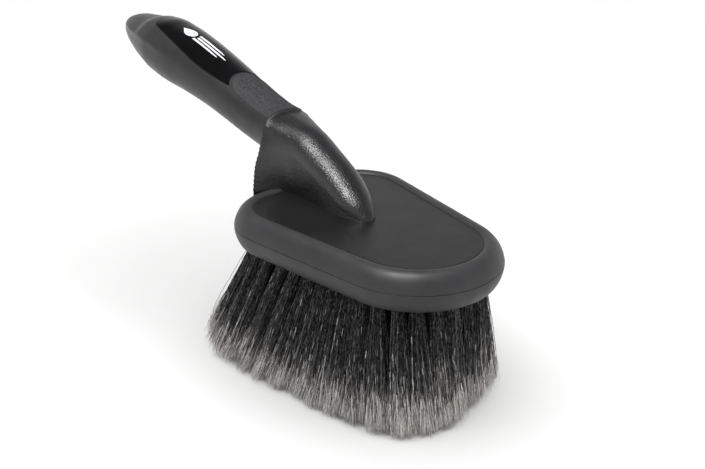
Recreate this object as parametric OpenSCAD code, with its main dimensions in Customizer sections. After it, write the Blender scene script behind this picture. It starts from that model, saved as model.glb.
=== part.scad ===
// Short-handled wheel brush: a moulded core with a soft grip and a soft bumper,
// and a drilled block full of stapled bristle tufts that fan outwards.
// Millimetres. Origin on the floor under the middle of the head, +X to the head's nose,
// the handle towards -X, +Z up.

/* [Head] */
// Height of the head's top face above the floor
deck_z = 66; // [62:1:72]
// Radius of the two rounded rear corners of the head
rear_r = 26; // [24:0.5:28]
// Centre of a rear corner, behind the head's middle
rear_x = 34; // [32:0.5:36]
// Centre of a rear corner, to each side
rear_y = 17; // [15:0.5:19]
// Radius of the rounded nose
nose_r = 35.7; // [34:0.1:38]
// Centre of the nose, ahead of the head's middle
nose_x = 24.3; // [22:0.1:26]
// Width of the bumper seen from above
bumper_w = 8.7; // [7.5:0.1:10]
// Height of the bumper below the head's top face
bumper_h = 15.8; // [14.5:0.1:17]
// Thickness of the soft bumper's side wall
bumper_wall = 5; // [4:0.25:6]

/* [Stem] */
// Width of the stem's rear face where it stands on the head
stem_w = 43; // [38:1:46]
// Width of the stem's body at its waist
waist_w = 16; // [14:0.5:19]
// Length of the hollow flare between the rear face and the body
flare_l = 16; // [12:1:20]

/* [Grip] */
// Thickness of the soft sleeve over the handle's tang
sleeve_wall = 3; // [2:0.25:4]
// Depth of the pocket under the badge and the thumb pad
inlay_t = 1.4; // [1:0.1:1.8]
// Half width of the thumb pad
pad_w = 9.2; // [8:0.2:10]
// Height that the badge's mark stands proud
mark_t = 0.2; // [0.2:0.1:0.4]

/* [Bristles] */
// Distance from the head's edge to the outer ring of tufts
edge_gap = 10; // [9.5:0.25:11]
// Spacing from ring to ring
ring_step = 7; // [6.5:0.25:7.5]
// Spacing of the tufts along a ring
pitch = 7.6; // [7.4:0.1:9]
// Diameter of a tuft's hole
hole_d = 4.2; // [3.8:0.1:4.6]
// Depth of a tuft's hole
hole_deep = 8.5; // [7:0.5:9]
// Diameter of a tuft at its tips
tip_d = 6.4; // [5:0.2:7]
// How far the outer tips lean out at the nose
lean_nose = 10; // [6:0.5:14]
// How far the outer tips lean out at the sides
lean_side = 17.5; // [12:0.5:20]
// How far the outer tips lean out at the rear
lean_rear = 25; // [14:0.5:26]

/* [Hidden] */
eps = 0.01;

// ---- head outline: one nose arc and two rear arcs joined by straight sides ----
side_len = sqrt(pow(nose_x + rear_x, 2) + rear_y * rear_y);
// Direction in which the straight side faces
side_a = acos((rear_r - nose_r) / side_len) - asin(rear_y / side_len);
// Facets of each rear arc; the nose arc has twice as many
arc_n = 20;

function arc_pts(cx, cy, r, a0, a1, n) =
    [for (i = [0 : n]) let (a = a0 + (a1 - a0) * i / n) [cx + r * cos(a), cy + r * sin(a)]];
// Centre of a rear arc of the outline moved inwards by d; past the arc's own radius it is a corner
function rear_c(d) = d <= rear_r ? [-rear_x, rear_y] : let (x = d - rear_x - rear_r)
    [x, (nose_r - d - cos(side_a) * (x - nose_x)) / sin(side_a)];
function outline(d) = let (c = rear_c(d), r = max(rear_r - d, 0.5)) concat(
    arc_pts(nose_x, 0, nose_r - d, -side_a, side_a, arc_n * 2),
    arc_pts(c[0], c[1], r, side_a, 180, arc_n),
    arc_pts(c[0], -c[1], r, 180, 360 - side_a, arc_n));

// ---- lofts ----
// Skin through a list of rings with equal point counts, closed at both ends
module loft(rings) {
    m = len(rings);
    n = len(rings[0]);
    sides = [
        for (i = [0 : m - 2]) for (j = [0 : n - 1]) let (k = (j + 1) % n)
            each [[i * n + j, i * n + k, (i + 1) * n + k], [i * n + j, (i + 1) * n + k, (i + 1) * n + j]]
    ];
    first = [for (j = [n - 1 : -1 : 0]) j];
    last = [for (j = [0 : n - 1]) (m - 1) * n + j];
    polyhedron(points = [for (r = rings) each r], faces = concat([first], sides, [last]), convexity = 6);
}
// Value of a table at x, straight between its rows
function at(table, x) = lookup(x, table);
// Row between four neighbouring rows, on a smooth curve through the middle two
function blend4(a, b, c, d, t) = 0.5 * ((2 * b) + (c - a) * t
    + (2 * a - 5 * b + 4 * c - d) * t * t
    + (3 * b - a - 3 * c + d) * t * t * t);
// Table with extra rows on the smooth curve through its rows
function smooth(rows, n) = concat(
    [for (i = [0 : len(rows) - 2]) for (j = [0 : n - 1])
        blend4(rows[max(i - 1, 0)], rows[i], rows[i + 1], rows[min(i + 2, len(rows) - 1)], j / n)],
    [rows[len(rows) - 1]]);
// Signed power, for rounded-square sections
function spow(v, e) = sign(v) * pow(abs(v), e);

// ---- handle ----
// Slope of the stem's rear face, and where it meets the head's top face
rear_lean = 0.085;
rear_face_x = -58.8;
// Sections of the handle: place along X, top and bottom above the head's top face,
// half width, and lean of the section
handle_rows = [
    [rear_face_x, 32.7, 12.0, 12.3, rear_lean],
    [-70, 33.4, 13.0, 12.2, 0.03],
    [-80, 34.7, 14.3, 12.2, 0],
    [-95, 38.6, 17.4, 12.7, 0],
    [-110, 42.5, 20.3, 13.3, 0],
    [-127, 46.7, 22.5, 14.2, 0],
    [-144, 49.9, 24.0, 15.1, 0],
    [-158, 51.2, 26.8, 14.5, 0],
    [-170, 49.8, 30.2, 11.8, 0],
    [-180, 48.2, 34.4, 8.5, 0],
    [-186, 46.2, 38.6, 5.0, 0],
    [-188.4, 43.4, 41.8, 1.2, 0]
];
// How square the sections are: 2 is an ellipse
squareness = 2.3;
handle_n = 40;
// One closed section, made smaller by d all round
function handle_ring(r, d) = let (
        c = (r[1] + r[2]) / 2,
        h = max((r[1] - r[2]) / 2 - d, 0.4),
        w = max(r[3] - d, 0.4)
    )
    [for (i = [0 : handle_n - 1]) let (a = 360 * i / handle_n, z = c + h * spow(sin(a), 2 / squareness))
        [r[0] - r[4] * z, w * spow(cos(a), 2 / squareness), deck_z + z]];
// Whole handle, made smaller by d
module handle_skin(d = 0) loft([for (r = smooth(handle_rows, 2)) handle_ring(r, d)]);
// Tang inside the sleeve: it starts inside the stem and stops short of the sleeve's end
tang_root = 4;
module tang() {
    root = [for (p = handle_ring(handle_rows[0], sleeve_wall)) p + [tang_root, 0, 0]];
    loft(concat([root], [for (i = [1 : len(handle_rows) - 3]) handle_ring(handle_rows[i], sleeve_wall)]));
}

// ---- stem ----
// Height of the stem's ridge, and half width of its body low down and at its shoulders
ridge = [
    [-60, 32.5], [-54, 30.9], [-44.5, 27.4], [-34, 22.7], [-24, 17.7], [-15.5, 12.6], [-8.5, 7.6],
    [-4.5, 3.6], [-2, 0.4]
];
foot = [
    [-60, waist_w / 2], [-36, waist_w / 2 + 0.3], [-20, 9.5], [-14.5, 8.8], [-9.5, 7.4], [-5.5, 4.9],
    [-3.5, 3], [-2, 0.5]
];
shoulder = [
    [-60, 11.8], [-54, 11], [-45, 10.1], [-34, 9.4], [-20, 9], [-14.5, 8.4], [-9.5, 7], [-5.5, 4.7],
    [-3.5, 2.9], [-2, 0.4]
];
rear_flare = stem_w / 2 - at(shoulder, -60);
// Depth that the stem is sunk into the head, down to the flange under the bumper
sink = 2.4;
stem_x = [
    rear_face_x, -57.6, -56, -54, -51.5, -48.5, -45, -41, -36.5, -31.5, -26.5, -22, -18, -14.5, -11.5,
    -8.5, -6, -4.2, -3, -2.2
];

// Half width of the body at x and height z, rounded off at the ridge
function body_w(x, z) = let (
        h = at(ridge, x),
        b = at(foot, x),
        s = at(shoulder, x),
        r = min(s, h),
        wide = b + (s - b) * min(1, max(0, z) / max(h - r, 0.5)),
        over = max(0, z - (h - r)) / r
    )
    wide * sqrt(max(0, 1 - pow(over, squareness)));
// Half width of the arched rear face, from the share t of its height
function arch_w(t) = let (
        h = at(ridge, -60),
        s = at(shoulder, -60),
        over = max(0, (t * h - (h - s)) / s)
    )
    s * sqrt(max(0, 1 - pow(over, squareness))) + rear_flare * (1 - t);
// Share of the rear face's outline in the section at x, which makes the hollow flare
function cove(x) = pow(max(0, 1 - (x - rear_face_x) / flare_l), 2.8);
function stem_half_w(x, z) = let (b = body_w(x, z)) b + (arch_w(max(0, z) / at(ridge, x)) - b) * cove(x);
// Points of a section on its side and on its rounded ridge
side_n = 7;
ridge_n = 9;
// Heights of a section's points, from the foot up to the ridge
function stem_heights(h, r) = concat(
    [-sink],
    [for (i = [0 : side_n - 1]) (h - r) * i / side_n],
    [for (i = [0 : ridge_n]) h - r + r * sin(90 * i / ridge_n)]);
// Point of the section at x, at height z on the side that side says
function stem_point(x, z, side) = [x - rear_lean * z * cove(x), side * stem_half_w(x, z), deck_z + z];
function stem_ring(x) = let (h = at(ridge, x), r = min(at(shoulder, x), h * 0.96), zs = stem_heights(h, r))
    concat(
        [for (z = zs) stem_point(x, z, 1)],
        [for (i = [len(zs) - 2 : -1 : 0]) stem_point(x, zs[i], -1)]);
module stem() loft([for (i = [len(stem_x) - 1 : -1 : 0]) stem_ring(stem_x[i])]);
stem_foot = concat(
    [for (x = stem_x) [x, stem_half_w(x, 0)]],
    [for (i = [len(stem_x) - 1 : -1 : 0]) [stem_x[i], -stem_half_w(stem_x[i], 0)]]);

module handle_core() color([0.16, 0.16, 0.17]) {
    flange_z = deck_z - sink;
    translate([0, 0, block_top]) linear_extrude(flange_z - block_top) polygon(outline(bumper_wall));
    translate([0, 0, flange_z - eps]) linear_extrude(sink + eps) polygon(outline(bumper_w));
    stem();
    tang();
}

// ---- grip, badge and thumb pad ----
pad_rear_x = -97.2;
pad_front_x = -63.5;
// The thumb pad seen from above: a tongue with a round rear end
module pad_plan(grow = 0) {
    r = pad_w + grow;
    x = pad_rear_x + pad_w;
    translate([x, 0]) circle(r = r, $fn = 48);
    translate([x, -r]) square([pad_front_x - x, 2 * r]);
}
// Half width of the badge at each place along the handle
badge_rows = [
    [-159, 1.5], [-158.2, 4.6], [-156, 7.3], [-154, 8], [-148, 8.9], [-138, 9.9], [-129, 10.5],
    [-119, 10.9], [-110, 10.5], [-100, 9.5], [-92, 8.2]
];
// Gap between the badge and the thumb pad
badge_rim = 1;
module badge_plan() difference() {
    rows = smooth(badge_rows, 2);
    polygon(concat(rows, [for (i = [len(rows) - 1 : -1 : 0]) [rows[i][0], -rows[i][1]]]));
    pad_plan(badge_rim);
}
// Plans cut downwards as far as z above the head's top face
pad_low = 24;
badge_low = 31;
module tall(z) translate([0, 0, deck_z + z]) linear_extrude(40) children();
// Everything over the plan of an inlay, down to the floor of its pocket
module pocket(z) difference() {
    tall(z) children();
    handle_skin(inlay_t);
}
module grip_sleeve() color([0.25, 0.25, 0.26]) difference() {
    handle_skin();
    tang();
    pocket(pad_low) pad_plan();
    pocket(badge_low) badge_plan();
}
module thumb_pad() color([0.33, 0.32, 0.34]) intersection() {
    handle_skin();
    pocket(pad_low) pad_plan();
}
module badge_plate() color([0.05, 0.05, 0.055]) intersection() {
    handle_skin();
    pocket(badge_low) badge_plan();
}
// Generic mark: a water drop followed by three speed lines
mark_x = -131;
drop_d = 6;
bar_l = 20;
bar_w = 1.1;
bar_step = 2.1;
module mark_plan() {
    translate([mark_x - 4.4, 0]) {
        circle(d = drop_d, $fn = 40);
        polygon([[-0.5, drop_d * 0.49], [-7.4, 0], [-0.5, -drop_d * 0.49]]);
    }
    for (i = [-1 : 1])
        translate([mark_x - abs(i), bar_step * i - bar_w / 2]) square([bar_l - 3 * abs(i), bar_w]);
}
module badge_mark() color([0.93, 0.93, 0.93]) difference() {
    intersection() {
        handle_skin(-mark_t);
        tall(badge_low) mark_plan();
    }
    handle_skin();
}

// ---- bumper ----
bumper_z = deck_z - bumper_h;
// Depth of the parting groove below the head's top face
seam_z = 7.2;
// Profile of the bumper: distance in from the widest outline, and height from the head's top face
bumper_profile = [
    [bumper_w, 0], [8.1, 0.5], [6.8, 0.9], [5.2, 0.7], [3.5, -0.3], [2, -1.9], [0.9, -3.9], [0.25, -5.8],
    [0, -seam_z + 0.4], [0.5, -seam_z], [0, -seam_z - 0.4], [0.2, -9.4], [0.8, -11.6], [1.7, -13.6],
    [2.6, -14.9], [3.6, -bumper_h], [bumper_wall, -bumper_h], [bumper_wall, -sink], [bumper_w, -sink]
];
module head_bumper() color([0.29, 0.285, 0.3]) difference() {
    loops = [for (q = bumper_profile) [for (p = outline(q[0])) [p[0], p[1], deck_z + q[1]]]];
    n = len(loops[0]);
    m = len(loops);
    polyhedron(points = [for (l = loops) each l],
        faces = [for (i = [0 : m - 1]) for (j = [0 : n - 1]) let (k = (j + 1) % n, t = (i + 1) % m)
            each [[i * n + k, i * n + j, t * n + j], [i * n + k, t * n + j, t * n + k]]], convexity = 8);
    translate([0, 0, deck_z - sink]) linear_extrude(10) polygon(stem_foot);
}

// ---- bristle block, tufts and anchors ----
block_top = deck_z - 3.6;
block_bottom = bumper_z + 0.6;
ring_count = 4;

function dist(a, b) = sqrt(pow(a[0] - b[0], 2) + pow(a[1] - b[1], 2));
// Point at length s round the closed list p
function point_at(p, s, i = 0) = let (a = p[i], b = p[(i + 1) % len(p)], d = dist(a, b))
    s <= d || i == len(p) - 1 ? a + (b - a) * s / max(d, eps) : point_at(p, s - d, i + 1);
// Length of the closed list p
function total(p, i = 0) = i == len(p) ? 0 : dist(p[i], p[(i + 1) % len(p)]) + total(p, i + 1);
// Roots of one ring of tufts, evenly spaced and staggered from ring to ring
function ring_roots(r) = let (
        p = outline(edge_gap + (r - 1) * ring_step),
        length = total(p),
        count = floor(length / pitch)
    )
    [for (i = [0 : count - 1]) point_at(p, length * (i + 0.5 * (r % 2)) / count)];
centre_roots = [for (i = [-3 : 2]) [i * pitch, 0]];
// Root of the outermost tufts from the head's middle, along X and along Y
reach_x = rear_x + rear_r - edge_gap;
reach_y = rear_y + rear_r - edge_gap;
// Distance that a tuft's tip lies outside its root, along X and along Y
function lean_at(q) = [
    q[0] > 0 ? lean_nose * pow(q[0] / reach_x, 1.3) : -lean_rear * pow(-q[0] / reach_x, 1.6),
    lean_side * q[1] / reach_y
];
function tilt_at(q) = atan(norm(lean_at(q)) / block_bottom);
// Puts its children at a root, with their -Z along the bristles
module at_root(q) translate([q[0], q[1], block_bottom])
    rotate([0, 0, atan2(lean_at(q)[1], lean_at(q)[0])]) rotate([0, -tilt_at(q), 0]) children();
// Flat staple that folds a tuft into its hole
anchor_h = 2.2;
anchor_t = 0.6;
anchor_w = hole_d - 0.2;
module one_tuft(q) {
    tilt = tilt_at(q);
    // Length of the free bristles, to where the low side of the tips touches the floor
    free = (block_bottom - tip_d / 2 * sin(tilt)) / cos(tilt);
    at_root(q) {
        translate([0, 0, -free]) cylinder(h = free, d1 = tip_d, d2 = hole_d, $fn = 24);
        cylinder(h = hole_deep - anchor_h, d = hole_d, $fn = 24);
    }
}
module tuft_ring(roots) color([0.08, 0.08, 0.085]) for (q = roots) one_tuft(q);
module anchor_ring(roots) color([0.72, 0.72, 0.7]) for (q = roots) at_root(q)
    translate([-anchor_t / 2, -anchor_w / 2, hole_deep - anchor_h]) cube([anchor_t, anchor_w, anchor_h]);

module bristle_block() color([0.1, 0.1, 0.1]) difference() {
    translate([0, 0, block_bottom]) linear_extrude(block_top - block_bottom) polygon(outline(bumper_wall));
    for (q = concat([for (r = [1 : ring_count]) each ring_roots(r)], centre_roots)) at_root(q)
        translate([0, 0, -3]) cylinder(h = hole_deep + 3, d = hole_d, $fn = 24);
}
module tufts_ring_1() tuft_ring(ring_roots(1));
module tufts_ring_2() tuft_ring(ring_roots(2));
module tufts_ring_3() tuft_ring(ring_roots(3));
module tufts_ring_4() tuft_ring(ring_roots(4));
module tufts_centre() tuft_ring(centre_roots);
module anchors_ring_1() anchor_ring(ring_roots(1));
module anchors_ring_2() anchor_ring(ring_roots(2));
module anchors_ring_3() anchor_ring(ring_roots(3));
module anchors_ring_4() anchor_ring(ring_roots(4));
module anchors_centre() anchor_ring(centre_roots);

handle_core();
grip_sleeve();
thumb_pad();
badge_plate();
badge_mark();
head_bumper();
bristle_block();
tufts_ring_1();
tufts_ring_2();
tufts_ring_3();
tufts_ring_4();
tufts_centre();
anchors_ring_1();
anchors_ring_2();
anchors_ring_3();
anchors_ring_4();
anchors_centre();
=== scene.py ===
"""Looks of the short-handled wheel brush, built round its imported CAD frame: +X to the nose, +Z up.

Shapes are worked out in millimetres, and make_mesh turns them into metres.
"""

import math

import bpy
import numpy as np
from mathutils import Matrix, Vector


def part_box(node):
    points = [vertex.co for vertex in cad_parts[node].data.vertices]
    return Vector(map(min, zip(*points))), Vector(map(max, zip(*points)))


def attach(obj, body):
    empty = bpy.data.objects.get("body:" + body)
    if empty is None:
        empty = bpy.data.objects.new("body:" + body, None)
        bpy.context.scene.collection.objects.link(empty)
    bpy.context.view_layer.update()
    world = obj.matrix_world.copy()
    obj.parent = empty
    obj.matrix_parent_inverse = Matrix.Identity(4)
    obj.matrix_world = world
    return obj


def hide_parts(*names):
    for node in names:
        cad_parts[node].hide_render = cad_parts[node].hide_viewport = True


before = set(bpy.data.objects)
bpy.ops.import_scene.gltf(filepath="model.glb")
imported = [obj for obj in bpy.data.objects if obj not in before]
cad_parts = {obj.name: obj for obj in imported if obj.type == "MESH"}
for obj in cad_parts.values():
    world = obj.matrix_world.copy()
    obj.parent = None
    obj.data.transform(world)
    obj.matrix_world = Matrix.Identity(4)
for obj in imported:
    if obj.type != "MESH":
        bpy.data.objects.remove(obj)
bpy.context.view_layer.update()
MM = 0.001

# ---------------------------------------------------------------- places, from the frame
BUMPER_LO, BUMPER_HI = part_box("head_bumper")
BLOCK_LO, BLOCK_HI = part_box("bristle_block")
CROWN = 0.9                                  # mm that the bumper's crown stands above the head's top face
DECK = BUMPER_HI.z / MM - CROWN              # height of the head's top face, mm
ROOT_Z = BLOCK_LO.z / MM                     # underside of the bristle block, mm
HALF_LEN = BUMPER_HI.x / MM                  # half length of the head, mm
HALF_WID = BUMPER_HI.y / MM                  # half width of the head, mm
NOSE_R = 35.7                                # radius of the head's nose, mm
NOSE_X = HALF_LEN - NOSE_R
REAR_R = 26.0                                # radius of the head's rear corners, mm
REAR_X = HALF_LEN - REAR_R
REAR_Y = HALF_WID - REAR_R


# ---------------------------------------------------------------- small tools
def table(rows, x):
    """Values of a table at x, on a smooth curve through its rows."""
    rows = np.array(rows, float)
    if rows[0, 0] > rows[-1, 0]:
        rows = rows[::-1]
    t, v = rows[:, 0], rows[:, 1:]
    slope = np.zeros_like(v)
    secant = np.diff(v, axis=0) / np.diff(t)[:, None]
    slope[0], slope[-1] = secant[0], secant[-1]
    same = secant[1:] * secant[:-1] > 0
    both = np.where(same, secant[1:] + secant[:-1], 1)
    slope[1:-1] = np.where(same, 2 * secant[1:] * secant[:-1] / both, 0)
    x = np.clip(np.asarray(x, float), t[0], t[-1])
    i = np.clip(np.searchsorted(t, x, side="right") - 1, 0, len(t) - 2)
    h = (t[i + 1] - t[i])[..., None]
    s = ((x - t[i]) / (t[i + 1] - t[i]))[..., None]
    out = ((2 * s**3 - 3 * s**2 + 1) * v[i] + (s**3 - 2 * s**2 + s) * h * slope[i]
           + (3 * s**2 - 2 * s**3) * v[i + 1] + (s**3 - s**2) * h * slope[i + 1])
    return out[..., 0] if out.shape[-1] == 1 else out


def smooth_step(x, a, b):
    t = np.clip((np.asarray(x, float) - a) / (b - a), 0, 1)
    return t * t * (3 - 2 * t)


def rounded(edge, radius):
    """Height, from 0 to 1, of a quarter-round rim at a distance from its edge."""
    return np.sqrt(np.clip(1 - (1 - np.clip(edge / radius, 0, 1)) ** 2, 0, 1))


def grid_faces(m, n, wrap_m=False, wrap_n=False):
    """Quads of an m by n grid of points."""
    i = np.arange(m if wrap_m else m - 1)[:, None]
    j = np.arange(n if wrap_n else n - 1)[None, :]
    i2, j2 = (i + 1) % m, (j + 1) % n
    return np.stack([i * n + j, i * n + j2, i2 * n + j2, i2 * n + j], -1).reshape(-1, 4)


def shell(top, low):
    """Points and quads of a closed patch between two grids of points."""
    m, n = top.shape[:2]
    k = m * n
    quads = grid_faces(m, n)
    rim = [i * n for i in range(m)] + [(m - 1) * n + j for j in range(1, n)]
    rim += [i * n + n - 1 for i in range(m - 2, -1, -1)] + [j for j in range(n - 2, 0, -1)]
    rim = np.array(rim)
    after = np.roll(rim, -1)
    skirt = np.stack([rim, after, after + k, rim + k], 1)
    points = np.concatenate([top.reshape(-1, 3), low.reshape(-1, 3)])
    return points, np.concatenate([quads[:, ::-1], quads + k, skirt[:, ::-1]])


def make_mesh(name, points, quads=(), tris=(), polys=(), materials=(), index=None, facets=slice(0)):
    """Mesh object from points in millimetres and lists of faces; facets picks those shaded flat."""
    quads = np.asarray(quads, np.int32).reshape(-1, 4)
    tris = np.asarray(tris, np.int32).reshape(-1, 3)
    mesh = bpy.data.meshes.new(name)
    flat = [quads.ravel(), tris.ravel()] + [np.asarray(p, np.int32) for p in polys]
    sizes = [4] * len(quads) + [3] * len(tris) + [len(p) for p in polys]
    loops = np.concatenate(flat)
    starts = np.concatenate([[0], np.cumsum(sizes)[:-1]]).astype(np.int32)
    points = np.asarray(points, float).reshape(-1, 3) * MM
    mesh.vertices.add(len(points))
    mesh.vertices.foreach_set("co", points.astype(np.float32).ravel())
    mesh.loops.add(len(loops))
    mesh.loops.foreach_set("vertex_index", loops.astype(np.int32))
    mesh.polygons.add(len(sizes))
    mesh.polygons.foreach_set("loop_start", starts)
    smooth = np.ones(len(sizes), bool)
    smooth[facets] = False
    mesh.polygons.foreach_set("use_smooth", smooth)
    for m in materials:
        mesh.materials.append(m)
    if index is not None:
        mesh.polygons.foreach_set("material_index", np.asarray(index, np.int32))
    mesh.update(calc_edges=True)
    mesh.validate()
    obj = bpy.data.objects.new(name, mesh)
    bpy.context.scene.collection.objects.link(obj)
    return obj


def place(obj, slot, *nodes):
    """Hangs a piece on the brush and hides the CAD nodes it stands for; slot is not used."""
    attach(obj, "root")
    if nodes:
        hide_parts(*nodes)
    return obj


# ---------------------------------------------------------------- materials
def nodes_of(name):
    mat = bpy.data.materials.new(name)
    mat.use_nodes = True
    tree = mat.node_tree
    return mat, tree, tree.nodes["Principled BSDF"]


def add(tree, kind, **values):
    node = tree.nodes.new(kind)
    for key, value in values.items():
        if key in node.inputs:
            node.inputs[key].default_value = value
        else:
            setattr(node, key, value)
    return node


def noise(tree, scale, detail=3.0, rough=0.55, stretch=None):
    """Noise in object space; scale is in features per metre."""
    coord = add(tree, "ShaderNodeTexCoord")
    tex = add(tree, "ShaderNodeTexNoise", Scale=scale, Detail=detail, Roughness=rough)
    if stretch:
        mapping = add(tree, "ShaderNodeMapping")
        mapping.inputs["Scale"].default_value = stretch
        tree.links.new(coord.outputs["Object"], mapping.inputs["Vector"])
        tree.links.new(mapping.outputs["Vector"], tex.inputs["Vector"])
    else:
        tree.links.new(coord.outputs["Object"], tex.inputs["Vector"])
    return tex.outputs["Fac"]


def ramp(tree, fac, low, high, a=0.3, b=0.7):
    node = add(tree, "ShaderNodeValToRGB")
    e = node.color_ramp.elements
    e[0].position, e[1].position = a, b
    e[0].color = (*low, 1) if len(low) == 3 else low
    e[1].color = (*high, 1) if len(high) == 3 else high
    tree.links.new(fac, node.inputs["Fac"])
    return node.outputs["Color"]


def spread(tree, fac, low, high, a=0.3, b=0.7):
    node = add(tree, "ShaderNodeMapRange")
    for key, value in (("From Min", a), ("From Max", b), ("To Min", low), ("To Max", high)):
        node.inputs[key].default_value = value
    tree.links.new(fac, node.inputs["Value"])
    return node.outputs["Result"]


def bump(tree, shader, layers):
    """Adds bump layers of (height, strength, distance in metres) to a shader's normal."""
    normal = None
    for height, strength, distance in layers:
        node = add(tree, "ShaderNodeBump", Strength=strength, Distance=distance)
        tree.links.new(height, node.inputs["Height"])
        if normal is not None:
            tree.links.new(normal, node.inputs["Normal"])
        normal = node.outputs["Normal"]
    tree.links.new(normal, shader.inputs["Normal"])


def plastic(name, dark, light, rough, grain, grain_depth, level=0.5, sheen=0.0, blotch=45.0):
    """Moulded plastic or rubber: soft colour blotches, uneven gloss and a fine moulded grain."""
    mat, tree, shader = nodes_of(name)
    cloud = noise(tree, blotch, 4.0)
    tree.links.new(ramp(tree, cloud, dark, light), shader.inputs["Base Color"])
    tree.links.new(spread(tree, noise(tree, 160.0, 3.0), rough[0], rough[1]), shader.inputs["Roughness"])
    shader.inputs["Specular IOR Level"].default_value = level
    shader.inputs["Sheen Weight"].default_value = sheen
    shader.inputs["Sheen Roughness"].default_value = 0.35
    fine = noise(tree, grain, 2.0, 0.6)
    waves = noise(tree, 60.0, 2.0)
    bump(tree, shader, [(waves, 0.12, 0.0004), (fine, 0.6, grain_depth)])
    return mat


CORE = plastic("moulded_core", (0.008, 0.008, 0.009), (0.012, 0.012, 0.014),
               (0.30, 0.38), 1300.0, 0.00040, 0.8)
DECKMAT = plastic("moulded_deck", (0.009, 0.0085, 0.0085), (0.013, 0.012, 0.012),
                  (0.28, 0.36), 2200.0, 0.00005, 0.34)
RUBBER = plastic("bumper_rubber", (0.025, 0.0236, 0.0252), (0.037, 0.035, 0.0373),
                 (0.42, 0.54), 1800.0, 0.00003, 0.42)
GRIPMAT = plastic("grip_rubber", (0.012, 0.0115, 0.012), (0.020, 0.0192, 0.0196),
                  (0.42, 0.52), 1800.0, 0.00003, 0.46, 0.3)
BADGE = plastic("badge_gloss", (0.003, 0.003, 0.003), (0.005, 0.005, 0.006),
                (0.12, 0.18), 400.0, 0.000004, 0.3)
INK = plastic("mark_ink", (0.80, 0.80, 0.84), (0.88, 0.88, 0.92), (0.35, 0.45), 900.0, 0.00001, 0.4)
PADMAT = plastic("pad_rubber", (0.018, 0.017, 0.019), (0.034, 0.032, 0.0355),
                 (0.60, 0.72), 1300.0, 0.0001, 0.45, blotch=700.0)
BLOCK = plastic("block_plastic", (0.010, 0.010, 0.011), (0.016, 0.016, 0.017),
                (0.35, 0.5), 1500.0, 0.00004, 0.4)


def steel():
    mat, tree, shader = nodes_of("staple_steel")
    shader.inputs["Metallic"].default_value = 1.0
    grain = noise(tree, 500.0, 3.0, 0.5, (1, 14, 1))
    tree.links.new(ramp(tree, grain, (0.45, 0.45, 0.44), (0.7, 0.7, 0.68)), shader.inputs["Base Color"])
    tree.links.new(spread(tree, grain, 0.25, 0.42), shader.inputs["Roughness"])
    bump(tree, shader, [(grain, 0.3, 0.00003)])
    return mat


def filament(name, colour, rough):
    """One tone of bristle filament: crimped, so its gloss breaks into fine glints."""
    mat, tree, shader = nodes_of(name)
    shader.inputs["Base Color"].default_value = (*colour, 1)
    crimp = noise(tree, 780.0, 1.0)
    tree.links.new(spread(tree, crimp, 0.05, 1.0, 0.42, 0.62), shader.inputs["Specular IOR Level"])
    uneven = noise(tree, 900.0, 2.0)
    tree.links.new(spread(tree, uneven, rough - 0.06, rough + 0.08), shader.inputs["Roughness"])
    bump(tree, shader, [(crimp, 1.0, 0.0008)])
    return mat


STEEL = steel()
# Tones from the root to the split tips: blacks first, then lighter greys
TONES = [
    filament("bristle_black", (0.013, 0.013, 0.0135), 0.30),
    filament("bristle_soot", (0.028, 0.0275, 0.0285), 0.32),
    filament("bristle_slate", (0.060, 0.059, 0.061), 0.34),
    filament("bristle_grey", (0.12, 0.117, 0.117), 0.42),
    filament("bristle_ash", (0.36, 0.345, 0.332), 0.46),
    filament("bristle_silver", (0.62, 0.592, 0.57), 0.48),
    filament("bristle_pale", (0.88, 0.848, 0.815), 0.5),
]


# ---------------------------------------------------------------- head outline
SIDE_A = math.acos((REAR_R - NOSE_R) / math.hypot(NOSE_X + REAR_X, REAR_Y)) - math.asin(
    REAR_Y / math.hypot(NOSE_X + REAR_X, REAR_Y))


def outline(inset, step=1.0):
    """Points round the head, inset from its widest outline: (x, y, facing angle).

    The number of points doesn't depend on the inset.
    """
    def arc(cx, cy, r, a0, a1, full_r):
        n = max(2, int(round(abs(a1 - a0) * full_r / step)))
        a = np.linspace(a0, a1, n + 1)
        return np.stack([cx + r * np.cos(a), cy + r * np.sin(a), a], 1)

    def line(p, q, n):
        t = np.linspace(0, 1, n + 2)[1:-1, None]
        return p + (q - p) * t

    nose = arc(NOSE_X, 0, NOSE_R - inset, -SIDE_A, SIDE_A, NOSE_R)
    left = arc(-REAR_X, REAR_Y, REAR_R - inset, SIDE_A, math.pi, REAR_R)
    right = arc(-REAR_X, -REAR_Y, REAR_R - inset, math.pi, 2 * math.pi - SIDE_A, REAR_R)
    n_side = int(math.hypot(NOSE_X + REAR_X, REAR_Y) / step)
    n_rear = int(2 * REAR_Y / step)
    first = nose[0].copy()
    first[2] += 2 * math.pi
    return np.concatenate([nose, line(nose[-1], left[0], n_side), left, line(left[-1], right[0], n_rear),
                           right, line(right[-1], first, n_side)])


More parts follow.
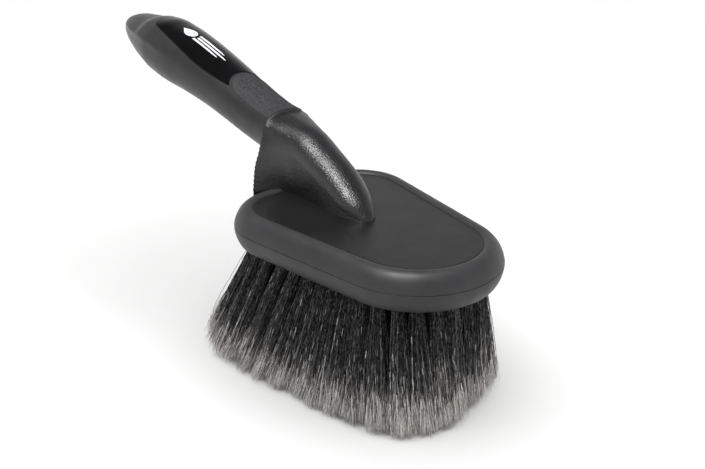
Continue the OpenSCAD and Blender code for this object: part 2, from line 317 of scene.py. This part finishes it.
# ---------------------------------------------------------------- handle surface
# Place along X, top and bottom above the head's top face, half width, lean of the section
REAR_FACE = -58.8
REAR_LEAN = 0.13
HANDLE = [
    (REAR_FACE, 31.4, 11.8, 12.9, REAR_LEAN),
    (-64, 31.6, 12.2, 12.6, 0.09),
    (-70, 32.2, 12.9, 12.3, 0.045),
    (-80, 34.2, 14.3, 12.2, 0),
    (-95, 38.4, 17.4, 12.7, 0),
    (-110, 42.5, 20.3, 13.3, 0),
    (-127, 46.7, 22.5, 14.2, 0),
    (-144, 49.9, 24.0, 15.1, 0),
    (-154, 51.1, 25.8, 14.9, 0),
    (-161, 51.0, 27.8, 13.9, 0),
    (-167, 49.7, 29.6, 12.5, 0),
    (-173, 49.1, 31.8, 10.9, 0),
    (-180, 48.2, 34.4, 8.6, 0),
    (-185, 46.6, 37.6, 6.1, 0),
    (-187.6, 44.6, 40.2, 3.2, 0),
    (-188.4, 42.8, 42.0, 0.6, 0),
]
SQUARE = 2.3        # how square the sections are: 2 is an ellipse
UNDERSIDE = -0.5    # underside of the inlays, below the grip's surface, mm


def handle_at(x):
    """Middle height, half height, half width and lean of the handle's section at x."""
    top, bottom, wide, lean = np.moveaxis(table(HANDLE, x), -1, 0)
    return (top + bottom) / 2, (top - bottom) / 2, wide, lean


def handle_top(x, y, off=0.0):
    """Height of the handle's upper surface over (x, y), moved out by off."""
    mid, h, w, lean = handle_at(x)
    share = np.clip(np.abs(y) / (w + off), 0, 1)
    return mid + (h + off) * (1 - share**SQUARE) ** (1 / SQUARE)


def handle_point(x, y, off=0.0):
    z = handle_top(x, y, off)
    lean = handle_at(x)[3]
    return np.stack([x - lean * z, y + 0 * z, DECK + z], -1)


ROLL, ROLL_L = 0.9, 1.6                            # depth and length of the rolled front edge, mm
CREASE_H, CREASE_AT, CREASE_W = 0.8, 22, 8         # shoulder line: height in mm, place and width in degrees
BODY_L = 118.0                                     # evenly stepped length behind the front edge, mm


def build_sleeve():
    """Soft sleeve: rolled front lip, soft shoulder line near the end, closed round end."""
    x_front, x_end = REAR_FACE, HANDLE[-1][0]
    lip = [0.0, 0.12, 0.35, 0.7, 1.1, 1.6, 2.3, 3.0]
    body = np.arange(3.8, BODY_L, 0.8)
    u = np.sin(np.linspace(0, math.pi / 2, 26)[1:])
    x = np.concatenate([x_front - np.array(lip), x_front - body,
                        (x_front - BODY_L) + (x_end - x_front + BODY_L) * u])
    n = 128
    a = np.linspace(0, 2 * math.pi, n, endpoint=False)
    mid, h, w, lean = handle_at(x)
    # The front edge is rolled inwards, so a dark groove shows between it and the stem
    roll = ROLL * (1 - rounded(x_front - x, ROLL_L))
    shoulder = CREASE_H * smooth_step(-x, 128, 152) * smooth_step(-x, 187, 174)
    ca, sa = np.cos(a)[None, :], np.sin(a)[None, :]
    turn = np.degrees(a)
    upper = (np.sin(a) > 0)[None, :]
    crest = np.exp(-(((turn + 90) % 180 - 90 - CREASE_AT) / CREASE_W) ** 2)[None, :] * upper
    crest = crest + np.exp(-((180 - turn - CREASE_AT) / CREASE_W) ** 2)[None, :]
    off = shoulder[:, None] * crest - roll[:, None]
    y = (w[:, None] + off) * np.sign(ca) * np.abs(ca) ** (2 / SQUARE)
    z = mid[:, None] + (h[:, None] + off) * np.sign(sa) * np.abs(sa) ** (2 / SQUARE)
    pts = np.stack([x[:, None] - lean[:, None] * z, y, DECK + z], -1)
    m = len(x)
    quads = grid_faces(m, n, wrap_n=True)[:, ::-1]
    polys = [list(range(n)), list(range((m - 1) * n, m * n))[::-1]]
    obj = make_mesh("grip_sleeve_soft", pts, quads, polys=polys, materials=[GRIPMAT])
    return place(obj, "grip_rubber", "grip_sleeve")


# Thumb pad: tongue let into the top of the grip
PAD_REAR, PAD_FRONT, PAD_R = -97.2, -60.2, 9.2
PAD_CX = PAD_REAR + PAD_R
PAD_LIFT, PAD_RIM, PAD_SET = 0.57, 0.8, 0.12       # height and radius of the rim, and how deep it is set, mm
PIMPLE_SUNK, PIMPLE_H = 0.17, 0.08                 # depth of the textured middle, height of its pimples, mm


def build_pad():
    """Raised tongue with a smooth rounded rim and a sunk, pimpled middle."""
    m, n = 190, 91
    t = np.linspace(0, 1, m)
    s = np.linspace(-1, 1, n)
    x = PAD_REAR + (PAD_FRONT - PAD_REAR) * t**1.25
    half = np.where(x < PAD_CX, np.sqrt(np.clip(PAD_R**2 - (x - PAD_CX) ** 2, 0, None)), PAD_R)
    half = np.maximum(half, 0.02)
    xx = np.repeat(x[:, None], n, 1)
    yy = half[:, None] * s[None, :]
    r = np.hypot(np.minimum(xx - PAD_CX, 0), yy)
    edge = PAD_R - r
    edge = np.minimum(edge, PAD_FRONT + 0.3 - xx)
    lift = PAD_LIFT * rounded(edge, PAD_RIM) - PAD_SET
    # Smooth crescent at the rear, pimples over the rest
    inset = smooth_step(edge, 1.3, 2.0)
    inner = inset * smooth_step(np.hypot(xx - PAD_CX - 3.2, yy * 0.95) - PAD_R + 0.5, 0.3, -0.7)
    inner = np.maximum(inner, inset * smooth_step(xx, PAD_CX + 2.5, PAD_CX + 3.5))
    pimples = np.random.default_rng(7).normal(0, 1, (m, n))
    for axis in (0, 1, 0, 1):
        pimples = (np.roll(pimples, 1, axis) + 2 * pimples + np.roll(pimples, -1, axis)) / 2.4
    pts = handle_point(xx, yy, lift - inner * (PIMPLE_SUNK + PIMPLE_H * np.clip(pimples, -2, 2)))
    # Close the tongue with an underside a little below the grip's surface
    points, quads = shell(pts, handle_point(xx, yy, np.full_like(xx, UNDERSIDE)))
    obj = make_mesh("thumb_pad_soft", points, quads, materials=[PADMAT])
    return place(obj, "pad_rubber", "thumb_pad")


# Half width of the badge by place along X; its rear end is blunt
BADGE_ROWS = [(-157.5, 5.6), (-157, 6.4), (-156, 7.3), (-154, 8.0), (-148, 8.9), (-138, 9.9), (-129, 10.5),
              (-119, 10.9), (-110, 10.5), (-100, 9.5), (-92, 8.2)]
BADGE_GAP = 1.0                                    # gap between the badge and the pad, mm
BADGE_LIFT, BADGE_RIM, BADGE_SET = 0.42, 0.6, 0.14 # height and radius of the rim, and how deep it is set, mm


def badge_xy(t, s):
    """Plan of the badge: t runs from the blunt rear end to the hollow front, s from side to side."""
    radius = PAD_R + BADGE_GAP
    end = PAD_CX - np.sqrt(np.clip(radius**2 - (s * 8.6) ** 2, 0, None))
    start = BADGE_ROWS[0][0] - 1.6 * (1 - s**2)
    x = start + (end - start) * t
    return x, s * table(BADGE_ROWS, x)


def build_badge():
    """Glossy inlay with a small rounded edge, standing just proud of the grip."""
    m, n = 150, 73
    t = (1 - np.cos(np.linspace(0, math.pi, m))) / 2
    s = np.sin(np.linspace(-1, 1, n) * math.pi / 2)
    T, S = np.meshgrid(t, s, indexing="ij")
    x, y = badge_xy(T, S)
    side = (1 - np.abs(S)) * table(BADGE_ROWS, x)
    length = badge_xy(np.ones_like(S), S)[0] - badge_xy(np.zeros_like(S), S)[0]
    edge = np.minimum(side, np.minimum(1 - T, T) * length)
    lift = BADGE_LIFT * rounded(edge, BADGE_RIM) - BADGE_SET
    pts = handle_point(x, y, lift)
    points, quads = shell(pts, handle_point(x, y, np.full_like(x, UNDERSIDE)))
    obj = make_mesh("badge_inlay", points, quads, materials=[BADGE])
    return place(obj, "badge_gloss", "badge_plate")


# ---------------------------------------------------------------- stem and head plate
# Ridge height, and half width of the body at its foot and at its shoulders, by place along X
RIDGE = [(-61, 31.0), (-54, 29.7), (-44.5, 27.4), (-34, 22.7), (-24, 17.7), (-15.5, 12.6), (-8.5, 7.6),
         (-4.8, 3.4), (-2.4, 0.3)]
FOOT = [(-61, 8.0), (-36, 8.3), (-20, 9.5), (-14.5, 8.7), (-9.5, 6.9), (-5.8, 4.6), (-3.6, 2.9), (-2.4, 0.3)]
SHOULDER = [(-61, 11.6), (-54, 10.8), (-45, 10.0), (-34, 9.4), (-20, 9.0), (-14.5, 8.3), (-9.5, 6.6),
            (-5.8, 4.4), (-3.6, 2.8), (-2.4, 0.3)]
# Half width of the rear face by height
ARCH = [(0, 21.4), (3.3, 20.8), (8.1, 19.9), (12.1, 18.7), (15.9, 16.9), (20.5, 15.0), (24.3, 13.1),
        (26.8, 12.0), (28.7, 10.2), (30.1, 6.8), (31, 0.2)]
TIP_X = -2.4        # front end of the stem, mm
TIP_Y = 1.3         # how far the stem's tip sits towards -Y, mm
FLARE_L = 16.0      # length over which the rear flare dies out, mm
SINK = 2.0          # how far the stem's foot goes down into the head plate, mm
NOTCH = 1.9         # spacing of the notches down the rear edge, mm


def stem_half(x, z):
    """Half width of the stem at x and height z above the head's top face, and the rear cove's share of it."""
    h, b, s = table(RIDGE, x), table(FOOT, x), table(SHOULDER, x)
    r = np.minimum(s, h)
    wide = b + (s - b) * np.clip(z / np.maximum(h - r, 0.5), 0, 1)
    over = np.clip((z - (h - r)) / r, 0, 1)
    body = wide * np.sqrt(np.clip(1 - over**SQUARE, 0, 1))
    share = np.clip(z / h, 0, 1)
    arch = table(ARCH, share * RIDGE[0][1])
    cove = np.clip(1 - (x - REAR_FACE) / FLARE_L, 0, 1) ** 2.8
    half = body + (arch - body) * cove
    # Shallow neck just ahead of the grip's lip, and fine notches down the rear edge
    neck = 0.35 * np.exp(-(((x - REAR_FACE) - 1.2) / 1.6) ** 2) * smooth_step(share, 0.62, 0.85)
    notch = 0.16 * cove**8 * (1 + np.cos(2 * math.pi * z / NOTCH)) * smooth_step(share, 0.72, 0.6)
    return np.maximum(half - neck - notch, 0), cove


def build_core():
    """Stem and top plate of the core moulding, as two meshes."""
    x = REAR_FACE + (TIP_X - REAR_FACE) * (1 - np.cos(np.linspace(0, math.pi, 150))) / 2
    h = table(RIDGE, x)
    r = np.minimum(table(SHOULDER, x), h * 0.96)
    low = np.linspace(0, 1, 68)
    up = np.sin(np.linspace(0, math.pi / 2, 26)[1:])
    side = (h - r)[:, None]
    z = np.concatenate([np.full((len(x), 1), -SINK), side * low[None, :], side + r[:, None] * up[None, :]], 1)
    half, cove = stem_half(x[:, None] + 0 * z, z)
    left = np.stack([x[:, None] - REAR_LEAN * np.clip(z, 0, None) * cove, half, DECK + z], -1)
    right = left[:, ::-1][:, 1:] * np.array([1, -1, 1])
    pts = np.concatenate([left, right], 1)
    pts[:, :, 1] -= TIP_Y * smooth_step(x, -24, -6)[:, None]
    m, n = pts.shape[:2]
    quads = grid_faces(m, n)[:, ::-1]
    # The rear face is level strips from side to side, shaded flat so that its edge stays crisp
    apex = n // 2
    j = np.arange(apex - 1)
    rear = np.stack([j, j + 1, n - 2 - j, n - 1 - j], 1)
    nose = [(m - 1) * n + i for i in range(n)][::-1]
    bottom = [i * n for i in range(m)][::-1] + [i * n + n - 1 for i in range(m)]
    stem = make_mesh("stem", pts, np.concatenate([quads, rear]), [(apex - 1, apex, apex + 1)],
                     polys=[nose, bottom], materials=[CORE],
                     facets=slice(len(quads), len(quads) + len(rear) + 1))
    place(stem, "core_plastic", "handle_core")
    # Top plate: flat, with a small rounded edge that drops into the bumper
    insets = [8.0, 8.35, 8.55, 8.9, 9.4, 10.2, 14.0, 20.0]
    drops = [-2.0, -0.6, -0.25, -0.05, 0.0, 0.0, 0.0, 0.0]
    rings = [np.column_stack([outline(i)[:, :2], np.full(len(outline(i)), DECK + d)])
             for i, d in zip(insets, drops)]
    k = len(rings[0])
    quads = grid_faces(len(rings), k, wrap_n=True)
    face = list(range((len(rings) - 1) * k, len(rings) * k))
    back = list(range(k))[::-1]
    plate = make_mesh("top_plate", np.concatenate(rings), quads, polys=[face, back], materials=[DECKMAT])
    return place(plate, "core_plastic", "handle_core")


def build_bumper():
    """Soft ring round the head, with its parting groove."""
    # Inset from the widest outline, and height over the head's top face
    profile = [(9.2, -1.2), (8.75, -0.35), (8.3, 0.25), (7.6, 0.65), (6.6, 0.88), (5.4, 0.72), (4.2, 0.22),
               (3.0, -0.75), (1.9, -2.1), (1.0, -3.8), (0.4, -5.4), (0.08, -6.7), (0.0, -7.0), (0.10, -7.12),
               (0.26, -7.2), (0.10, -7.28), (0.0, -7.4), (0.05, -8.4), (0.3, -10.0), (0.8, -11.8),
               (1.6, -13.6), (2.5, -15.0), (3.3, -15.65), (4.2, -15.8), (5.6, -15.8), (6.4, -15.5)]
    profile = np.array(profile)
    t = np.arange(len(profile))
    fine = np.linspace(0, len(profile) - 1, 6 * (len(profile) - 1) + 1)
    prof = table(np.column_stack([t, profile]), fine)
    rings = [np.column_stack([outline(i)[:, :2], np.full(len(outline(0)), DECK + z)]) for i, z in prof]
    k = len(rings[0])
    m = len(rings)
    quads = grid_faces(m, k, wrap_m=True, wrap_n=True)[:, ::-1]
    obj = make_mesh("bumper_ring", np.concatenate(rings), quads, materials=[RUBBER])
    return place(obj, "bumper_rubber", "head_bumper")


# ---------------------------------------------------------------- badge mark
def build_mark():
    """Generic mark: a water drop followed by three speed lines, laid on the badge as thin ink."""
    parts = []

    def patch(xa, xb, half_of, rows=26, cols=7, mid=0.0):
        t = np.linspace(0, 1, rows)
        s = np.linspace(-1, 1, cols)
        x = xa + (xb - xa) * t
        parts.append((np.repeat(x[:, None], cols, 1), mid + half_of(t)[:, None] * s[None, :]))

    def drop(t):
        point = np.sin(np.clip(t / 0.62, 0, 1) * math.pi / 2) ** 1.35
        ball = np.sqrt(np.clip(1 - ((t - 0.62) / 0.38) ** 2, 0.0008, 1))
        return 2.9 * np.where(t < 0.62, point, ball) + 0.02

    def dash(t):
        return 0.6 * np.sqrt(np.clip(1 - t**4, 0.02, 1))

    patch(-142.5, -132.6, drop)
    for i in (-1, 0, 1):
        patch(-130.6 - 1.0 * abs(i), -108.5 - 4.0 * abs(i), dash, 24, 5, 2.05 * i)
    points, quads, base = [], [], 0
    for x, y in parts:
        p, q = shell(handle_point(x, y, np.full_like(x, 0.34)), handle_point(x, y, np.full_like(x, 0.15)))
        points.append(p)
        quads.append(q + base)
        base += len(p)
    obj = make_mesh("badge_mark_ink", np.concatenate(points), np.concatenate(quads), materials=[INK])
    return place(obj, "mark_white", "badge_mark")


# ---------------------------------------------------------------- bristles
EDGE_GAP, RING_STEP, PITCH = 10.0, 7.0, 7.6        # as drilled in the block, mm
REACH_X, REACH_Y = HALF_LEN - EDGE_GAP, HALF_WID - EDGE_GAP
HOLE_R = 2.0                                       # filaments leave the hole within this radius, mm
BUNDLES = 13                                       # small bundles in a tuft
OWN_PLACE, BUNDLE_PLACE = 0.56, 0.53               # a filament's own place in the tuft, and its bundle's
STRAY_SHARE = 0.015                                # filaments that stand away from their tuft
CRIMP = 0.11                                       # sideways jitter of the crimped filaments, mm
POINTS, END_POINTS = 16, 4                         # rings along a filament and along a split end
END_TONES = (4.0, 5.2, 6.2)                        # mean tone along a split end
DARK_ENDS = 0.30                                   # share of the split ends that stay dark


def ring_roots(ring):
    """Roots of one ring of tufts, evenly spaced along the inset outline."""
    inset = EDGE_GAP + (ring - 1) * RING_STEP
    if inset <= REAR_R:
        pts = outline(inset, 0.5)[:, :2]
    else:
        x = inset - HALF_LEN
        y = (NOSE_R - inset - math.cos(SIDE_A) * (x - NOSE_X)) / math.sin(SIDE_A)
        a = np.linspace(-SIDE_A, SIDE_A, 40)
        nose = np.stack([NOSE_X + (NOSE_R - inset) * np.cos(a), (NOSE_R - inset) * np.sin(a)], 1)
        pts = np.concatenate([nose, [[x, y], [x, -y]]])
    seg = np.hypot(*(np.roll(pts, -1, 0) - pts).T)
    run = np.concatenate([[0], np.cumsum(seg)])
    count = int(run[-1] // PITCH)
    at = run[-1] * (np.arange(count) + 0.5 * (ring % 2)) / count
    closed = np.concatenate([pts, pts[:1]])
    return np.stack([np.interp(at, run, closed[:, 0]), np.interp(at, run, closed[:, 1])], 1)


CENTRE_ROOTS = np.stack([np.arange(-3, 3) * PITCH, np.zeros(6)], 1)


# Where the tips of the outer ring lie from their roots, along X and Y, by direction from the head's middle.
# The soft bristles rest a little towards -Y at the nose.
LEANS = [(-180, -23, 0), (-155, -22.5, -11), (-145, -16, -12.5), (-125, -10.5, -15.5), (-95, -1, -18.5),
         (-65, 8.8, -17.8), (-45, 13.2, -13), (-30, 15.3, -9), (-15, 12, -3.4), (0, 4.2, 0), (15, 1.5, 0.5),
         (35, 6, 4.5), (50, 9.5, 11.5), (90, 0.5, 15.5), (125, -10, 14), (145, -16, 12), (155, -22, 10),
         (180, -23, 0)]


def lean_at(q):
    """Outward lean of the tips of tufts rooted at q: full at the edge of the block, none in its middle."""
    share = np.clip(np.hypot(q[:, 0] / REACH_X, q[:, 1] / REACH_Y), 0, 1)[:, None]
    return table(LEANS, np.degrees(np.arctan2(q[:, 1], q[:, 0]))) * share**1.3


def strands(roots, per_tuft, rng, spread_r):
    """Centre-line function of every filament of some tufts, and the share of its length before it splits."""
    q = np.repeat(roots, per_tuft, 0)
    n = len(q)

    def in_disc(count):
        a, r = rng.uniform(0, 2 * math.pi, count), np.sqrt(rng.uniform(0, 1, count))
        return np.stack([r * np.cos(a), r * np.sin(a)], 1)

    # Within a tuft the filaments run in small bundles, with dark lines between them
    middles = in_disc(BUNDLES * len(roots))
    tuft = np.repeat(np.arange(len(roots)), per_tuft)
    bundle = middles[rng.integers(0, BUNDLES, n) + BUNDLES * tuft]
    disc = in_disc(n) * OWN_PLACE + bundle * BUNDLE_PLACE
    lean = lean_at(q)
    along = np.stack([-lean[:, 1], lean[:, 0]], 1)
    along /= np.maximum(np.hypot(*along.T), 1e-6)[:, None]
    # Tufts widen more along the edge of the head than across it
    wide = disc * spread_r + along * (disc * along).sum(1)[:, None] * spread_r * 0.55
    wide += rng.normal(0, 0.25, (n, 2))
    stray = rng.uniform(0, 1, n) < STRAY_SHARE
    wide += rng.normal(0, 1.4, (n, 2)) * stray[:, None]
    # Most filaments end near the floor, and a few end shorter
    short = np.abs(rng.normal(0, 0.8, n)) + rng.exponential(2.5, n) * (rng.uniform(0, 1, n) < 0.15)
    end_z = 0.35 + np.clip(short, 0, 9)
    main = rng.uniform(0.66, 0.83, n)
    bow = rng.normal(0, 0.5, (n, 2))
    phase = rng.uniform(0, 2 * math.pi, (n, 1))
    amp = rng.normal(0, 0.3, (n, 2))
    top = ROOT_Z + 1.5

    def at(t):
        t = t[:, None]
        xy = q + disc * HOLE_R + lean * t**1.08 + (wide - disc * HOLE_R) * t**0.62
        xy = xy + bow * np.sin(math.pi * t) + amp * np.sin(11 * t + phase) * t
        return np.concatenate([xy, top - (top - end_z[:, None]) * t], 1)

    return at, main, n


def tube(centre, radius, sides, twist):
    """Thin tubes along centre lines: centre is strands x points x 3, radius strands x points."""
    s, k, _ = centre.shape
    ang = twist[:, None] + np.arange(sides)[None, :] * 2 * math.pi / sides
    ring = np.stack([np.cos(ang), np.sin(ang), np.zeros_like(ang)], -1)
    pts = centre[:, :, None, :] + radius[:, :, None, None] * ring[:, None, :, :]
    return pts.reshape(s, k * sides, 3)


def tube_faces(s, k, sides):
    """Quads along the tubes and the two end triangles, for three-sided tubes."""
    i = np.arange(k - 1)[:, None]
    j = np.arange(sides)[None, :]
    j2 = (j + 1) % sides
    near, far = i * sides, (i + 1) * sides
    one = np.stack([near + j, near + j2, far + j2, far + j], -1).reshape(-1, 4)[:, ::-1]
    base = (np.arange(s) * k * sides)[:, None, None]
    quads = (one[None] + base).reshape(-1, 4)
    caps = np.array([list(range(sides)), [(k - 1) * sides + c for c in range(sides)][::-1]])
    tris = (caps[None] + base).reshape(-1, 3)
    return quads, tris


def build_tufts(name, roots, per_tuft, seed, node, splits=3, spread_r=6.0, thick=0.15):
    """Filaments of some tufts: a plain length each, then finer split ends."""
    rng = np.random.default_rng(seed)
    at, main, n = strands(roots, per_tuft, rng, spread_r)
    k = POINTS
    t = np.linspace(0, 1, k)[None, :] * main[:, None]
    centre = np.stack([at(t[:, i]) for i in range(k)], 1)
    # The filaments are crimped: each short stretch points a little differently
    centre[:, 1:-1, :2] += rng.normal(0, CRIMP, (n, k - 2, 2))
    rad = np.repeat(thick * rng.uniform(0.8, 1.25, (n, 1)), k, 1)
    twist = rng.uniform(0, 2 * math.pi, n)
    pts = [tube(centre, rad, 3, twist).reshape(-1, 3)]
    quads, tris = tube_faces(n, k, 3)
    # Blacks along the length, a few lighter filaments, paler stretches towards the split, and painted glints:
    # short stretches painted lighter in place of glints of light on the crimped filaments
    kind = rng.uniform(0, 1, n)
    base = np.where(kind < 0.55, 0, np.where(kind < 0.86, 1, 2))
    # The tufts at the nose show more of their pale ends
    nose = smooth_step(at(np.zeros(n))[:, 0], 20, 48)[:, None]
    pale = np.clip((t[:, 1:] - 0.49 + 0.16 * nose) * 7.0 + rng.normal(0, 1.0, (n, 1)), 0, 3)
    # Painted glints: about one stretch in six is painted lighter, standing in for a glint of light on the
    # crimp
    painted_glint_fleck = np.where(rng.uniform(0, 1, (n, k - 1)) < 0.16, rng.uniform(1, 3.5, (n, k - 1)), 0)
    tone = np.clip(base[:, None] + np.floor(pale) + np.floor(painted_glint_fleck), 0, 5).astype(int)
    all_q, all_t = [quads], [tris]
    q_index, t_index = [np.repeat(tone.reshape(-1), 3)], [np.zeros(len(tris), int)]
    offset = n * k * 3
    ks = END_POINTS
    taper = np.array([1.0, 0.9, 0.8, 0.5])
    for h in range(splits):
        side = rng.normal(0, 0.7, (n, 2))
        ends = np.clip(1.0 - 0.05 * np.abs(rng.normal(0, 1, n)), 0.86, 1.0)
        ts = main[:, None] + (ends - main)[:, None] * np.linspace(0, 1, ks)[None, :]
        c = np.stack([at(ts[:, i]) for i in range(ks)], 1)
        c[:, :, :2] += side[:, None, :] * (np.linspace(0, 1, ks) ** 1.2)[None, :, None]
        rr = thick * 0.60 * taper[None, :] * rng.uniform(0.8, 1.2, (n, 1))
        pts.append(tube(c, rr, 3, twist + h).reshape(-1, 3))
        fq, ft = tube_faces(n, ks, 3)
        all_q.append(fq + offset)
        all_t.append(ft + offset)
        offset += n * ks * 3
        # This draw shapes nothing; it keeps the random draws after it as they are
        rng.normal(0, 0.10, (n, ks - 1, 2))
        # Some ends stay dark, which keeps dark gaps between the pale ones
        dark_end = (rng.uniform(0, 1, (n, 1)) < DARK_ENDS) * 3.2
        lift = rng.normal(0, 1.3, (n, 3)) + np.array(END_TONES)[None, :] - dark_end + 1.0 * nose
        q_index.append(np.repeat(np.clip(np.round(lift), 0, 6).astype(int).reshape(-1), 3))
        t_index.append(np.full(len(ft), 4))
    obj = make_mesh(name, np.concatenate(pts), np.concatenate(all_q), np.concatenate(all_t),
                    materials=TONES, index=np.concatenate(q_index + t_index))
    return place(obj, "bristle", node)


def build_bristles():
    """Every ring of tufts, in pieces under 200,000 triangles."""
    # Ring, pieces, filaments for each tuft, split ends for each filament, and the tufts' radius at the tips
    plan = [(1, 7, 190, 3, 4.6), (2, 4, 120, 3, 4.6), (3, 2, 90, 2, 4.4), (4, 2, 80, 2, 4.2)]
    for ring, parts, per_tuft, splits, spread_r in plan:
        for i, part in enumerate(np.array_split(ring_roots(ring), parts)):
            build_tufts(f"bristles_ring_{ring}_{'abcdefg'[i]}", part, per_tuft, 10 * ring + i,
                        f"tufts_ring_{ring}", splits, spread_r)
    build_tufts("bristles_centre", CENTRE_ROOTS, 80, 51, "tufts_centre", 2, 4.5)


# ---------------------------------------------------------------- build
build_core()
build_bumper()
build_sleeve()
build_pad()
build_badge()
build_mark()
build_bristles()
for name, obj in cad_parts.items():
    mat = STEEL if name.startswith("anchors") else BLOCK
    if name.startswith("anchors") or name == "bristle_block":
        obj.data.materials.clear()
        obj.data.materials.append(mat)

# ---------------------------------------------------------------- floor, light, camera
scene = bpy.context.scene
FLOOR = 3000.0                               # half width of the floor, mm
corners = [(-FLOOR, -FLOOR, 0), (FLOOR, -FLOOR, 0), (FLOOR, FLOOR, 0), (-FLOOR, FLOOR, 0)]
floor = make_mesh("floor", corners, [(0, 1, 2, 3)])
paper, tree, shader = nodes_of("floor_paper")
tone = ramp(tree, noise(tree, 1.5, 2.0), (0.70, 0.70, 0.697), (0.72, 0.72, 0.717))
tree.links.new(tone, shader.inputs["Base Color"])
shader.inputs["Roughness"].default_value = 0.9
shader.inputs["Specular IOR Level"].default_value = 0.1
floor.data.materials.append(paper)

world = bpy.data.worlds.new("studio")
scene.world = world
world.use_nodes = True
wt = world.node_tree
coord = wt.nodes.new("ShaderNodeTexCoord")
split = wt.nodes.new("ShaderNodeSeparateXYZ")
wt.links.new(coord.outputs["Generated"], split.inputs["Vector"])
sky = wt.nodes.new("ShaderNodeMapRange")
for key, value in (("From Min", 0.04), ("From Max", 0.68), ("To Min", 0.985), ("To Max", 0.06)):
    sky.inputs[key].default_value = value
wt.links.new(split.outputs["Z"], sky.inputs["Value"])
wt.links.new(sky.outputs["Result"], wt.nodes["Background"].inputs["Strength"])
wt.nodes["Background"].inputs["Color"].default_value = (1.0, 1.0, 1.0, 1)


def softbox(name, direction, distance, size, power, target=(0, 0, 0.06)):
    light = bpy.data.lights.new(name, "AREA")
    light.shape = "RECTANGLE"
    light.size, light.size_y = size
    light.energy = power
    obj = bpy.data.objects.new(name, light)
    scene.collection.objects.link(obj)
    away = Vector(direction).normalized()
    obj.location = Vector(target) + away * distance
    obj.rotation_euler = away.to_track_quat("Z", "Y").to_euler()
    return obj


# The wide top light only fills, so that it lays no broad reflection on the badge and the stem
softbox("ceiling", (0.0, 0.0, 1.0), 1.6, (2.4, 2.4), 62).visible_glossy = False
# The key light only gives the glints, so that it throws no hard shadow
softbox("key", (0.05, -0.32, 0.94), 1.2, (0.20, 0.40), 16).visible_diffuse = False

cam = bpy.data.cameras.new("camera")
cam.sensor_width = 36
cam.lens = 79.14
cam.clip_start = 0.01
camera = bpy.data.objects.new("camera", cam)
scene.collection.objects.link(camera)
CAM_POS = Vector((0.44989, -0.37614, 0.25385 + DECK * MM))
forward = Vector((-0.71191, 0.57402, -0.40458)).normalized()
right = forward.cross(Vector((0, 0, 1))).normalized()
up = right.cross(forward)
roll = math.radians(0.358)
right, up = right * math.cos(roll) + up * math.sin(roll), up * math.cos(roll) - right * math.sin(roll)
camera.matrix_world = Matrix((
    (right.x, up.x, -forward.x, CAM_POS.x),
    (right.y, up.y, -forward.y, CAM_POS.y),
    (right.z, up.z, -forward.z, CAM_POS.z),
    (0, 0, 0, 1)))
scene.camera = camera
scene.view_settings.view_transform = "Standard"
